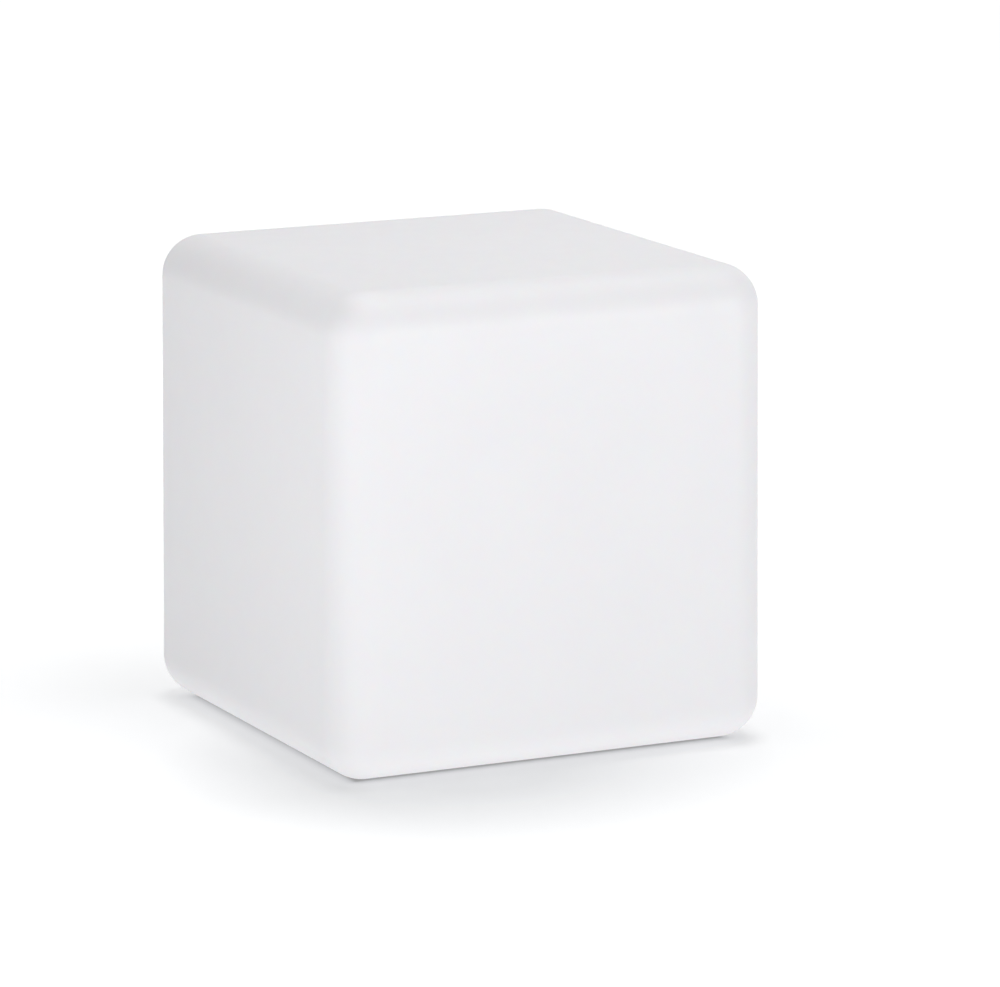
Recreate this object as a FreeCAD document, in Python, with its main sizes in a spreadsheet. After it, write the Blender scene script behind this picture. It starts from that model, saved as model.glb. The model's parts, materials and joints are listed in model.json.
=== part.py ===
import FreeCAD, Part
import Sketcher
import math
import os
import re

# A cordless LED cube light: a hollow moulded cube that stands on four feet, with a round
# module in its underside that holds the button, charging port, battery and light source.
# Frame: +Z up, origin on the floor under the middle of the cube, front towards -Y.

Vector = FreeCAD.Vector
doc = FreeCAD.newDocument("led_cube_light")

# Driving dimensions in millimetres, unless the note says degrees or a count.
SIZES = [
    ("side", 300, "width of the cube at its foot"),
    ("shell_height", 303.5, "height of the moulded cube without its feet"),
    ("draft", 0.34, "lean of each side wall, degrees"),
    ("edge_radius", 26.6, "rounding of every outer edge"),
    ("shell_wall", 3, "wall of the moulded cube"),
    ("foot_height", 2, "how far the feet stand proud of the underside"),
    ("foot_diameter", 20, "rubber foot"),
    ("foot_seat_depth", 2, "depth of each foot's seat"),
    ("foot_inset", 50, "foot to the cube's sides"),
    ("foot_play", 0.1, "gap round a foot in its seat"),
    ("foot_chamfer", 0.8, "bevel round the foot's tread"),
    ("module_inset", 0.5, "module face above the cube's underside"),
    ("flange_rim", 13, "flange of the module past its cup"),
    ("flange_thickness", 3.5, "flange and floor of the module"),
    ("flange_chamfer", 1, "bevel of the flange's outer edge"),
    ("recess_play", 1, "gap round the flange in its recess"),
    ("cup_diameter", 120, "outside of the module's cup"),
    ("cup_wall", 2, "wall of the cup"),
    ("cup_height", 34, "cup above the flange"),
    ("mouth_play", 1, "gap round the cup in the cube's mouth"),
    ("gasket_thickness", 1, "flat gaskets under the flange and under the tray"),
    ("module_screw_inset", 6.5, "module screw outside the cube's mouth"),
    ("insert_diameter", 5, "brass insert nut"),
    ("insert_length", 6, "brass insert nut"),
    ("insert_inset", 0.2, "insert nut above the gasket face"),
    ("insert_boss_diameter", 11, "moulded boss round an insert nut"),
    ("thread", 3, "outer diameter of the module and tray screws"),
    ("thread_play", 0.05, "gap round a screw or an insert in its seat"),
    ("hole_play", 0.25, "gap round a screw in a clearance hole"),
    ("head_diameter", 5.6, "pan head of an M3 screw"),
    ("head_height", 2.1, "pan head of an M3 screw"),
    ("module_screw_length", 8, "under the head"),
    ("tray_screw_length", 10, "under the head"),
    ("head_inset", 0.1, "screw head below the module's face"),
    ("head_play", 0.4, "gap round a head in its counterbore"),
    ("drive_width", 0.9, "slot width of the cross drive"),
    ("drive_reach", 1.8, "arm of the cross drive"),
    ("drive_depth", 1.2, "depth of the cross drive"),
    ("tip_bevel", 0.3, "bevel of a screw's tip"),
    ("small_thread", 2.5, "outer diameter of the board and clamp screws"),
    ("small_head_diameter", 4.5, "head of a small screw"),
    ("small_head_height", 1.7, "head of a small screw"),
    ("small_screw_length", 6, "under the head"),
    ("led_screw_length", 4, "LED board screws, under the head"),
    ("post_wall", 1.9, "plastic round a screw in a post"),
    ("pilot_extra", 1, "pilot hole past the screw's end"),
    ("button_x", -14, "button and switch"),
    ("port_x", 14, "charging port"),
    ("board_edge", 4, "control board's near edge in front of the centre line"),
    ("button_bore", 14.4, "hole for the button"),
    ("button_play", 0.3, "gap round the button"),
    ("button_lip", 2, "how far the inner lip reaches past the button's side"),
    ("button_lip_thickness", 1, "inner lip that keeps the button in"),
    ("button_lift", 0.2, "lip above the module's floor at rest"),
    ("button_dish", 0.5, "hollow of the button's face"),
    ("dish_share", 0.7, "share of the button's radius where its dish flattens"),
    ("button_rim", 0.8, "rounded rim of the button's face"),
    ("button_stem_diameter", 6, "stem up to the switch"),
    ("button_travel", 1, "full stroke"),
    ("seal_section", 1.3, "O-ring section"),
    ("seal_play", 0.08, "O-ring to the bore"),
    ("seal_seat_play", 0.15, "O-ring to its groove, above and below"),
    ("switch_side", 12, "square housing of the switch"),
    ("switch_body", 4, "height of the switch housing"),
    ("switch_height", 7.3, "board to plunger tip"),
    ("plunger_diameter", 6.6, "switch plunger"),
    ("plunger_play", 0.3, "gap round and above the plunger"),
    ("plunger_grip", 1.2, "plunger inside the housing at rest"),
    ("port_diameter", 11, "opening for the charging plug"),
    ("cover_diameter", 15, "cover over the port"),
    ("cover_thickness", 1.5, "plate of the cover"),
    ("cover_play", 0.4, "gap round the cover and its stopper"),
    ("cover_lift", 0.1, "gap above the cover's plate"),
    ("stopper_inset", 0.2, "stopper short of the jack"),
    ("stopper_chamfer", 0.4, "bevel of the stopper's end"),
    ("strap_width", 8, "strap of the cover"),
    ("strap_reach", 13, "port to the strap's bend line"),
    ("anchor_length", 8, "fixed end of the strap"),
    ("stud_diameter", 4, "stud that holds the strap"),
    ("stud_head_diameter", 6, "barbed end of the stud"),
    ("stud_head_height", 1.5, "barbed end of the stud"),
    ("nail_notch_radius", 3, "notch for a fingernail beside the cover"),
    ("jack_side", 10, "square body of the charging jack"),
    ("jack_height", 11, "charging jack, also sets the control board's height"),
    ("jack_bore", 5.9, "jack opening"),
    ("jack_bore_depth", 9, "jack opening"),
    ("jack_pin", 2.1, "centre pin of the jack"),
    ("jack_pin_inset", 0.6, "pin end behind the jack's face"),
    ("pipe_diameter", 3, "charging light pipe"),
    ("pipe_lip_diameter", 5.4, "inner lip of the light pipe"),
    ("pipe_lip_thickness", 1, "inner lip of the light pipe"),
    ("indicator_side", 2, "charging light on the control board"),
    ("indicator_height", 1, "charging light on the control board"),
    ("coil_side", 6, "coil on the control board"),
    ("coil_height", 3, "coil on the control board"),
    ("circuit_side", 5, "integrated circuit"),
    ("circuit_height", 1.2, "integrated circuit"),
    ("small_part_length", 3, "small part on the control board"),
    ("small_part_width", 1.6, "small part on the control board"),
    ("small_part_height", 1, "small part on the control board"),
    ("pipe_gap", 0.3, "light pipe to the charging light"),
    ("vent_x", -42, "breather"),
    ("vent_diameter", 6, "breather barrel"),
    ("vent_cap_diameter", 9, "breather cap"),
    ("vent_cap_height", 1.2, "breather cap"),
    ("vent_lip", 0.5, "barb of the breather past its barrel"),
    ("vent_lip_height", 1.5, "barb of the breather"),
    ("vent_bore", 2.5, "air hole of the breather"),
    ("board_length", 56, "control board in X"),
    ("board_width", 42, "control board in Y"),
    ("board_thickness", 1.6, "control board"),
    ("board_screw_inset", 4, "board screw to the board's edges"),
    ("cell_diameter", 18.3, "battery cell"),
    ("cell_length", 65, "battery cell"),
    ("cell_rounding", 0.6, "bevels of a cell's ends and of its groove"),
    ("cell_groove_inset", 4, "crimped groove to the cell's end"),
    ("cell_groove_width", 2, "crimped groove"),
    ("cell_nub_diameter", 6, "plus end"),
    ("cell_nub_height", 0.8, "plus end"),
    ("cell_pitch", 19, "between the cells' axes"),
    ("cell_edge", 2.9, "nearest cell's side behind the centre line"),
    ("cell_lift", 1, "cradle under the cells"),
    ("cell_play", 0.1, "gap between the cells and their seats"),
    ("cradle_length", 58, "foam cradle in X"),
    ("cradle_height", 7, "foam cradle"),
    ("cradle_margin", 1.2, "cradle and clamp past the cells in Y"),
    ("clamp_length", 50, "saddle of the clamp in X"),
    ("clamp_rise", 2.5, "clamp above the cells"),
    ("clamp_grip", 5, "how far the clamp reaches down beside the cells"),
    ("ear_gap", 8.5, "clamp screw past the cells' ends"),
    ("ear_width", 8, "ears of the clamp"),
    ("ear_thickness", 2.5, "ears of the clamp"),
    ("tab_thickness", 0.3, "nickel tab"),
    ("tab_height", 7, "nickel tab"),
    ("tab_margin", 5, "tab past each cell's axis in Y"),
    ("tray_thickness", 3, "LED tray"),
    ("tray_screw_inset", 6, "tray screw inside the cup's wall"),
    ("led_board_gap", 4.5, "LED board to the dome"),
    ("led_board_thickness", 1.6, "LED board"),
    ("led_screw_inset", 4, "LED board screw to the board's edge"),
    ("chip_side", 5, "square LED chip"),
    ("chip_height", 1.6, "LED chip"),
    ("inner_ring_radius", 16, "inner ring of chips"),
    ("inner_ring_count", 6, "chips, a count"),
    ("outer_ring_radius", 28, "outer ring of chips"),
    ("outer_ring_count", 12, "chips, a count"),
    ("dome_gap", 3.2, "diffuser dome to the tray screws' heads"),
    ("dome_wall", 1.5, "diffuser dome"),
    ("dome_skirt", 6, "straight skirt of the dome above the tray"),
    ("dome_seat_depth", 1, "groove for the dome"),
    ("dome_seat_play", 0.1, "gap round the dome's skirt in its groove"),
    ("lead_diameter", 2, "sheath of the inner leads"),
    ("lead_hole", 9, "hole for the lead in the tray and LED board"),
    ("lead_y", 8, "upright run of the LED lead"),
    ("lead_hole_offset", 1.5, "lead hole to the upright run"),
    ("lead_bend", 7, "bend radius of the inner leads"),
    ("lead_reach", 10.5, "battery lead past the cells' ends"),
    ("plug_side", 6, "square lead connectors"),
    ("plug_height", 5, "lead connectors"),
    ("battery_plug_inset", 7, "connector of the battery lead, from the board's middle"),
    ("lead_stub", 1, "straight lead at a connector"),
    ("overcut", 1, "how far a cut runs past the face it leaves by"),
    ("bite", 0.5, "how far an added solid reaches into what it joins"),
]

# Values worked out from the driving dimensions.
FORMULAS = {
    "shell_floor": "foot_height + shell_wall",
    "rounding_top": "foot_height + edge_radius",
    "inner_side": "side - 2 * shell_wall",
    "inner_radius": "edge_radius - shell_wall",
    "foot_seat_top": "foot_height + foot_seat_depth",
    "foot_pad_top": "foot_seat_top + shell_wall",
    "foot_offset": "side / 2 - foot_inset",
    "foot_circle": "foot_offset * sqrt(2)",
    "module_face": "foot_height + module_inset",
    "floor_top": "module_face + flange_thickness",
    "ledge_bottom": "floor_top + gasket_thickness",
    "ledge_top": "ledge_bottom + shell_wall",
    "flange_radius": "cup_radius + flange_rim",
    "recess_radius": "flange_radius + recess_play",
    "cup_radius": "cup_diameter / 2",
    "cup_inside": "cup_radius - cup_wall",
    "mouth_radius": "cup_radius + mouth_play",
    "cup_rim": "floor_top + cup_height",
    "module_screw_radius": "mouth_radius + module_screw_inset",
    "tray_screw_radius": "cup_inside - tray_screw_inset",
    "head_bottom": "module_face + head_inset",
    "head_top": "head_bottom + head_height",
    "insert_bottom": "ledge_bottom + insert_inset",
    "insert_top": "insert_bottom + insert_length",
    "bore_radius": "button_bore / 2",
    "button_radius": "bore_radius - button_play",
    "seal_radius": "bore_radius - seal_play - seal_section / 2",
    "seal_level": "module_face + flange_thickness / 2",
    "groove_radius": "seal_radius - seal_section / 2 - thread_play",
    "lip_bottom": "floor_top + button_lift",
    "panel_y": "board_edge + board_width / 2",
    "board_bottom": "floor_top + jack_height",
    "board_top": "board_bottom + board_thickness",
    "plunger_tip": "board_bottom - switch_height",
    "switch_bottom": "board_bottom - switch_body",
    "plunger_end": "switch_bottom + plunger_grip",
    "cover_seat_top": "module_face + cover_thickness + cover_lift",
    "bend_y": "panel_y + strap_reach",
    "stud_y": "bend_y + anchor_length / 2",
    "pipe_top": "board_bottom - indicator_height - pipe_gap",
    "board_screw_x": "board_length / 2 - board_screw_inset",
    "board_screw_dy": "board_width / 2 - board_screw_inset",
    "cell_radius": "cell_diameter / 2",
    "cell_groove": "cell_length - cell_groove_inset",
    "cell_groove_end": "cell_groove + cell_groove_width",
    "cell_shoulder": "cell_length - cell_nub_height",
    "near_cell_y": "-cell_edge - cell_radius",
    "far_cell_y": "near_cell_y - cell_pitch",
    "cells_y": "near_cell_y - cell_pitch / 2",
    "cell_level": "floor_top + cell_lift + cell_play + cell_radius",
    "cells_width": "cell_pitch + cell_diameter + 2 * cradle_margin",
    "clamp_top": "cell_level + cell_radius + clamp_rise",
    "ear_bottom": "clamp_top - ear_thickness",
    "ear_reach": "cell_length / 2 + ear_gap",
    "tray_bottom": "cup_rim + gasket_thickness",
    "tray_top": "tray_bottom + tray_thickness",
    "led_board_top": "tray_top + led_board_thickness",
    "dome_radius": "tray_screw_radius - head_diameter / 2 - dome_gap",
    "led_board_radius": "dome_radius - dome_wall - led_board_gap",
    "led_screw_radius": "led_board_radius - led_screw_inset",
    "dome_bottom": "tray_top - dome_seat_depth",
    "dome_centre": "tray_top + dome_skirt",
    "lead_hole_y": "lead_y - lead_hole_offset",
    "plug_y": "lead_y + lead_bend + plug_side / 2 + lead_stub",
    "led_plug_y": "lead_y - lead_bend - plug_side / 2 - lead_stub",
    "battery_plug_y": "panel_y - battery_plug_inset",
    "lead_turn_x": "cell_length / 2 + lead_reach",
}

sheet = doc.addObject("Spreadsheet::Sheet", "Sizes")
for row, (alias, number, note) in enumerate(SIZES, start=1):
    sheet.set(f"A{row}", note)
    sheet.set(f"B{row}", str(number))
    sheet.setAlias(f"B{row}", alias)
doc.recompute()

ALIASES = {alias for alias, number, note in SIZES}
NODES = {}


def spell(text):
    """Write a formula out in the sheet's own cells."""
    def swap(match):
        word = match.group()
        if word in FORMULAS:
            return f"({spell(FORMULAS[word])})"
        return f"Sizes.{word}" if word in ALIASES else word
    return re.sub(r"[a-z][a-z_0-9]*", swap, text)


def value(text):
    return float(sheet.evalExpression(spell(text)))


def bind(item, name, text):
    item.setExpression(name, spell(text))


def node(name, item):
    """Give a finished sub-part the name of its file."""
    item.Label = name
    NODES[name] = item
    return item


def new_body(name):
    return doc.addObject("PartDesign::Body", name)


def origin_of(body, role):
    return next(item for item in body.Origin.OriginFeatures if item.Role == role)


def sketch_on(body, role, x="0", y="0", height="0"):
    """A sketch on one of the body's own planes, moved by x and y in it and by height from it."""
    sketch = body.newObject("Sketcher::SketchObject", "Sketch")
    sketch.AttachmentSupport = [(origin_of(body, role), "")]
    sketch.MapMode = "FlatFace"
    for axis, text in zip("xyz", (x, y, height)):
        bind(sketch, f"AttachmentOffset.Base.{axis}", text)
    return sketch


def hold(sketch, geometry, end, across, up):
    """Dimension one point of a sketch from the sketch's origin."""
    for kind, text in (("DistanceX", across), ("DistanceY", up)):
        sign = "-" if value(text) < 0 else ""
        ends = (geometry, end, -1, 1) if sign else (-1, 1, geometry, end)
        rule = Sketcher.Constraint(kind, *ends, abs(value(text)))
        index = sketch.addConstraint(rule)
        bind(sketch, f"Constraints[{index}]", f"{sign}({text})")


def outline(sketch, corners):
    """A closed outline of straight lines through the corners."""
    points = [Vector(value(x), value(y), 0) for x, y in corners]
    lines = []
    for start, end in zip(points, points[1:] + points[:1]):
        lines.append(sketch.addGeometry(Part.LineSegment(start, end), False))
    for line, after in zip(lines, lines[1:] + lines[:1]):
        sketch.addConstraint(Sketcher.Constraint("Coincident", line, 2, after, 1))
    for line, (x, y) in zip(lines, corners):
        hold(sketch, line, 1, x, y)


def rectangle(sketch, width, depth, x="0", y="0"):
    corners = []
    for across, up in ((-1, -1), (1, -1), (1, 1), (-1, 1)):
        corners.append((f"{x} + {across} * ({width}) / 2", f"{y} + {up} * ({depth}) / 2"))
    outline(sketch, corners)


def feature(body, kind, sketch):
    item = body.newObject(f"PartDesign::{kind}", kind)
    item.Profile = sketch
    return item


def checked_cut(body, item, before):
    """A cut that takes nothing away points the wrong way."""
    doc.recompute()
    if item.Shape.isNull() or item.Shape.Volume > before - 0.01:
        raise RuntimeError(f"{body.Name}: {item.Name} cuts nothing")
    return item


def pad(body, sketch, length):
    item = feature(body, "Pad", sketch)
    bind(item, "Length", length)
    doc.recompute()
    return item


def pocket(body, sketch, depth):
    """Cut upwards from the sketch."""
    before = body.Shape.Volume
    item = feature(body, "Pocket", sketch)
    item.Reversed = True
    bind(item, "Length", depth)
    return checked_cut(body, item, before)


def turned(body, profile, x="0", y="0"):
    """Add a solid of revolution about the upright line through x, y; profile is radius, level."""
    sketch = sketch_on(body, "XZ_Plane", x, "0", f"-({y})")
    outline(sketch, profile)
    item = feature(body, "Revolution", sketch)
    item.ReferenceAxis = (sketch, ["V_Axis"])
    item.Angle = 360
    doc.recompute()
    return item


def turned_cut(body, profile, x="0", y="0"):
    """Cut a solid of revolution about the upright line through x, y."""
    before = body.Shape.Volume
    sketch = sketch_on(body, "XZ_Plane", x, "0", f"-({y})")
    outline(sketch, profile)
    item = feature(body, "Groove", sketch)
    item.ReferenceAxis = (sketch, ["V_Axis"])
    item.Angle = 360
    return checked_cut(body, item, before)


def around(body, items, count):
    """Repeat features round the upright axis."""
    item = body.newObject("PartDesign::PolarPattern", "PolarPattern")
    item.Originals = items
    item.Axis = (origin_of(body, "Z_Axis"), [""])
    item.Angle = 360
    bind(item, "Occurrences", count)
    body.Tip = item
    doc.recompute()
    return item


def bar(radius, bottom, top):
    """Profile of a plain round bar or hole."""
    return [("0", bottom), (radius, bottom), (radius, top), ("0", top)]


def ring(inner, outer, bottom, top):
    """Profile of a plain ring."""
    return [(inner, bottom), (outer, bottom), (outer, top), (inner, top)]


def box(length, width, height, x, y, z):
    """A block centred on x, y that stands on the level z."""
    item = doc.addObject("Part::Box", "Box")
    for name, text in (("Length", length), ("Width", width), ("Height", height)):
        bind(item, name, text)
    bind(item, "Placement.Base.x", f"{x} - ({length}) / 2")
    bind(item, "Placement.Base.y", f"{y} - ({width}) / 2")
    bind(item, "Placement.Base.z", z)
    return item


def cylinder(radius, height, x, y, z, along_x=False):
    """A round bar that starts at x, y, z and runs up, or along X."""
    item = doc.addObject("Part::Cylinder", "Cylinder")
    if along_x:
        item.Placement = FreeCAD.Placement(Vector(), FreeCAD.Rotation(Vector(0, 1, 0), 90))
    bind(item, "Radius", radius)
    bind(item, "Height", height)
    for axis, text in zip("xyz", (x, y, z)):
        bind(item, f"Placement.Base.{axis}", text)
    return item


def fuse(items):
    item = doc.addObject("Part::MultiFuse", "Fuse")
    item.Shapes = items
    return item


def cut(base, tools):
    item = doc.addObject("Part::Cut", "Cut")
    item.Base = base
    item.Tool = tools[0] if len(tools) == 1 else fuse(tools)
    return item


def group(items):
    """Separate solids that share one node."""
    item = doc.addObject("Part::Compound", "Compound")
    item.Links = items
    return item


def drive_sketch(body, x, y, height):
    """The cross of a screw's drive."""
    sketch = sketch_on(body, "XY_Plane", x, y, height)
    arm = "drive_reach"
    half = "drive_width / 2"
    corners = [(half, arm), (half, half), (arm, half), (arm, f"-{half}"), (half, f"-{half}"),
               (half, f"-{arm}"), (f"-{half}", f"-{arm}"), (f"-{half}", f"-{half}"),
               (f"-{arm}", f"-{half}"), (f"-{arm}", half), (f"-{half}", half), (f"-{half}", arm)]
    outline(sketch, corners)
    return sketch


def screw(body, head, tall, thread, length, seat, x="0", y="0", up=False):
    """A cross-drive screw under whose head lies the level seat; up when its point is upwards."""
    sign = "-" if up else "+"
    back = "+" if up else "-"
    head_end = f"{seat} {sign} {tall}"
    bevel = f"({tall}) / 4"
    profile = [("0", f"{seat} {back} {length}"),
               (f"{thread} / 2 - tip_bevel", f"{seat} {back} {length}"),
               (f"{thread} / 2", f"{seat} {back} ({length} - 2 * tip_bevel)"),
               (f"{thread} / 2", seat), (f"{head} / 2", seat),
               (f"{head} / 2", f"{seat} {sign} ({tall} - {bevel})"),
               (f"{head} / 2 - {bevel}", head_end), ("0", head_end)]
    shank = turned(body, profile, x, y)
    low = head_end if up else f"{head_end} - drive_depth"
    drive = pocket(body, drive_sketch(body, x, y, low), "drive_depth")
    return [shank, drive]


# The cube

def straight_edges(shape):
    """Names of a plain block's edges."""
    return [f"Edge{index}" for index, edge in enumerate(shape.Edges, start=1)]


def rounded_block(name, width, height, floor, radius):
    """A block with draft on its sides and one rounding on every edge."""
    body = new_body(name)
    plan = sketch_on(body, "XY_Plane", height=floor)
    rectangle(plan, width, width)
    block = pad(body, plan, height)
    bind(block, "TaperAngle", "-draft")
    doc.recompute()
    fillet = body.newObject("PartDesign::Fillet", "Fillet")
    fillet.Base = (block, straight_edges(block.Shape))
    bind(fillet, "Radius", radius)
    doc.recompute()
    return body


def moulding():
    """The whole one-piece cube; two nodes share it, so it is built once."""
    body = doc.getObject("CubeMoulding")
    if body:
        return body
    body = rounded_block("CubeMoulding", "side", "shell_height", "foot_height", "edge_radius")
    hollow = rounded_block("CubeHollow", "inner_side", "shell_height - 2 * shell_wall",
                           "shell_floor", "inner_radius")
    before = body.Shape.Volume
    wall = body.newObject("PartDesign::Boolean", "Wall")
    wall.setObjects([hollow])
    wall.Type = "Cut"
    checked_cut(body, wall, before)

    # The wall steps up over the module's recess and over each foot.
    turned(body, ring("mouth_radius", "recess_radius + shell_wall", "shell_floor - bite", "ledge_top"))
    boss = turned(body, bar("insert_boss_diameter / 2", "ledge_top - bite", "insert_top + shell_wall"),
                  "module_screw_radius")
    around(body, [boss], "4")
    foot_pad = turned(body, bar("foot_diameter / 2 + foot_play + shell_wall", "shell_floor - bite",
                                "foot_pad_top"), "foot_offset", "foot_offset")
    around(body, [foot_pad], "4")

    # The recess, the mouth, the insert seats and the foot seats.
    turned_cut(body, [("0", "0"), ("recess_radius", "0"), ("recess_radius", "ledge_bottom"),
                      ("mouth_radius", "ledge_bottom"), ("mouth_radius", "ledge_top + overcut"),
                      ("0", "ledge_top + overcut")])
    seat = turned_cut(body, bar("insert_diameter / 2 + thread_play", "ledge_bottom - overcut",
                                "insert_top + pilot_extra"), "module_screw_radius")
    around(body, [seat], "4")
    foot_seat = turned_cut(body, bar("foot_diameter / 2 + foot_play", "0", "foot_seat_top"),
                           "foot_offset", "foot_offset")
    around(body, [foot_seat], "4")
    return body


def cube_shell():
    """The moulding's walls and top, down to where the lower rounding starts."""
    return cut(moulding(), [box("2 * side", "2 * side", "rounding_top", "0", "0", "0")])


def cube_floor():
    """The moulding's floor and lower rounding, face to face with the walls."""
    return cut(moulding(), [box("2 * side", "2 * side", "shell_height", "0", "0", "rounding_top")])


def rubber_feet():
    body = new_body("RubberFeet")
    foot = turned(body, [("0", "0"), ("foot_diameter / 2 - foot_chamfer", "0"),
                         ("foot_diameter / 2", "foot_chamfer"), ("foot_diameter / 2", "foot_seat_top"),
                         ("0", "foot_seat_top")], "foot_circle")
    around(body, [foot], "4")
    body.Placement.Rotation = FreeCAD.Rotation(Vector(0, 0, 1), 45)
    return body


def insert_nuts():
    body = new_body("InsertNuts")
    nut = turned(body, ring("thread / 2 + thread_play", "insert_diameter / 2", "insert_bottom",
                            "insert_top"), "module_screw_radius")
    around(body, [nut], "4")
    return body


# The module

def module_gasket():
    body = new_body("ModuleGasket")
    turned(body, ring("mouth_radius", "flange_radius", "floor_top", "ledge_bottom"))
    hole = turned_cut(body, bar("thread / 2 + hole_play", "floor_top - overcut", "ledge_bottom + overcut"),
                      "module_screw_radius")
    around(body, [hole], "4")
    return body


def board_screw_places():
    """X and Y of the four control board screws."""
    places = []
    for across in (-1, 1):
        for up in (-1, 1):
            places.append((f"{across} * board_screw_x", f"panel_y + {up} * board_screw_dy"))
    return places


def ear_places():
    return [(f"{across} * ear_reach", "cells_y") for across in (-1, 1)]


def post(body, thread, top, length, x, y="0"):
    """A post on the module's floor with a pilot hole for a screw."""
    shaft = turned(body, bar(f"{thread} / 2 + post_wall", "floor_top - bite", top), x, y)
    pilot = turned_cut(body, bar(f"{thread} / 2 + thread_play", f"{top} - {length} - pilot_extra",
                                 f"{top} + overcut"), x, y)
    return [shaft, pilot]


def module_base():
    body = new_body("ModuleBase")
    turned(body, [("0", "module_face"), ("flange_radius - flange_chamfer", "module_face"),
                  ("flange_radius", "module_face + flange_chamfer"), ("flange_radius", "floor_top"),
                  ("cup_radius", "floor_top"), ("cup_radius", "cup_rim"), ("cup_inside", "cup_rim"),
                  ("cup_inside", "floor_top"), ("0", "floor_top")])
    around(body, post(body, "thread", "tray_bottom", "(tray_screw_length - tray_thickness)",
                      "tray_screw_radius"), "4")
    for x, y in board_screw_places():
        post(body, "small_thread", "board_bottom", "(small_screw_length - board_thickness)", x, y)
    for x, y in ear_places():
        post(body, "small_thread", "ear_bottom", "(small_screw_length - ear_thickness)", x, y)

    # Screw holes with their counterbores.
    counterbore = turned_cut(body, [
        ("0", "0"), ("head_diameter / 2 + head_play", "0"), ("head_diameter / 2 + head_play", "head_top"),
        ("thread / 2 + hole_play", "head_top"), ("thread / 2 + hole_play", "floor_top + overcut"),
        ("0", "floor_top + overcut")], "module_screw_radius")
    around(body, [counterbore], "4")

    # Button, light pipe and breather.
    turned_cut(body, bar("bore_radius", "0", "floor_top + overcut"), "button_x", "panel_y")
    turned_cut(body, bar("pipe_diameter / 2 + thread_play", "0", "floor_top + overcut"), "0", "panel_y")
    turned_cut(body, [("0", "0"), ("vent_cap_diameter / 2 + thread_play", "0"),
                      ("vent_cap_diameter / 2 + thread_play", "module_face + vent_cap_height"),
                      ("vent_diameter / 2 + thread_play", "module_face + vent_cap_height"),
                      ("vent_diameter / 2 + thread_play", "floor_top + overcut"),
                      ("0", "floor_top + overcut")], "vent_x", "panel_y")

    # Charging port: the opening, the seat of its cover and strap, and the nail notch.
    turned_cut(body, [("0", "0"), ("cover_diameter / 2 + cover_play", "0"),
                      ("cover_diameter / 2 + cover_play", "cover_seat_top"),
                      ("port_diameter / 2", "cover_seat_top"), ("port_diameter / 2", "floor_top + overcut"),
                      ("0", "floor_top + overcut")], "port_x", "panel_y")
    reach = "strap_reach + anchor_length + cover_play"
    strap_seat = sketch_on(body, "XY_Plane", "port_x", f"panel_y + ({reach}) / 2", "0")
    rectangle(strap_seat, "strap_width + 2 * cover_play", reach)
    pocket(body, strap_seat, "cover_seat_top")
    turned_cut(body, bar("stud_diameter / 2 + thread_play", "0", "floor_top + overcut"), "port_x", "stud_y")
    turned_cut(body, bar("nail_notch_radius", "0", "cover_seat_top"), "port_x",
               "panel_y - cover_diameter / 2 - cover_play")
    return body


def module_screws():
    body = new_body("ModuleScrews")
    around(body, screw(body, "head_diameter", "head_height", "thread", "module_screw_length", "head_top",
                       "module_screw_radius", up=True), "4")
    return body


def power_button():
    body = new_body("PowerButton")
    side = "button_radius"
    lip = "button_radius + button_lip"
    lip_top = "lip_bottom + button_lip_thickness"
    seat_low = "seal_level - seal_section / 2 - seal_seat_play"
    seat_high = "seal_level + seal_section / 2 + seal_seat_play"
    turned(body, [("0", "module_face + button_dish"),
                  (f"{side} * dish_share", "module_face + button_dish / 3"),
                  (f"{side} - button_rim", "module_face"), (side, "module_face + button_rim / 2"),
                  (side, seat_low), ("groove_radius", seat_low), ("groove_radius", seat_high),
                  (side, seat_high), (side, "lip_bottom"), (lip, "lip_bottom"), (lip, lip_top),
                  ("button_stem_diameter / 2", lip_top), ("button_stem_diameter / 2", "plunger_tip"),
                  ("0", "plunger_tip")])
    bind(body, "Placement.Base.x", "button_x")
    bind(body, "Placement.Base.y", "panel_y")
    return body


def button_seal():
    item = doc.addObject("Part::Torus", "ButtonSeal")
    bind(item, "Radius1", "seal_radius")
    bind(item, "Radius2", "seal_section / 2")
    bind(item, "Placement.Base.x", "button_x")
    bind(item, "Placement.Base.y", "panel_y")
    bind(item, "Placement.Base.z", "seal_level")
    return item


def switch_plunger():
    return cylinder("plunger_diameter / 2", "plunger_end - plunger_tip", "button_x", "panel_y",
                    "plunger_tip")


def tact_switch():
    housing = box("switch_side", "switch_side", "switch_body", "button_x", "panel_y", "switch_bottom")
    well = cylinder("plunger_diameter / 2 + plunger_play", "plunger_grip + button_travel + plunger_play",
                    "button_x", "panel_y", "switch_bottom")
    return cut(housing, [well])


def charge_port_cover():
    """Plate, stopper and the moving end of the strap; it swings about the bend line."""
    body = new_body("ChargePortCover")
    turned(body, [("0", "module_face"), ("cover_diameter / 2", "module_face"),
                  ("cover_diameter / 2", "module_face + cover_thickness"),
                  ("port_diameter / 2 - cover_play", "module_face + cover_thickness"),
                  ("port_diameter / 2 - cover_play", "floor_top - stopper_inset - stopper_chamfer"),
                  ("port_diameter / 2 - cover_play - stopper_chamfer", "floor_top - stopper_inset"),
                  ("0", "floor_top - stopper_inset")], "port_x", "panel_y")
    strap = sketch_on(body, "XY_Plane", "port_x", "panel_y + strap_reach / 2", "module_face")
    rectangle(strap, "strap_width", "strap_reach")
    pad(body, strap, "cover_thickness")
    return body


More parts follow.
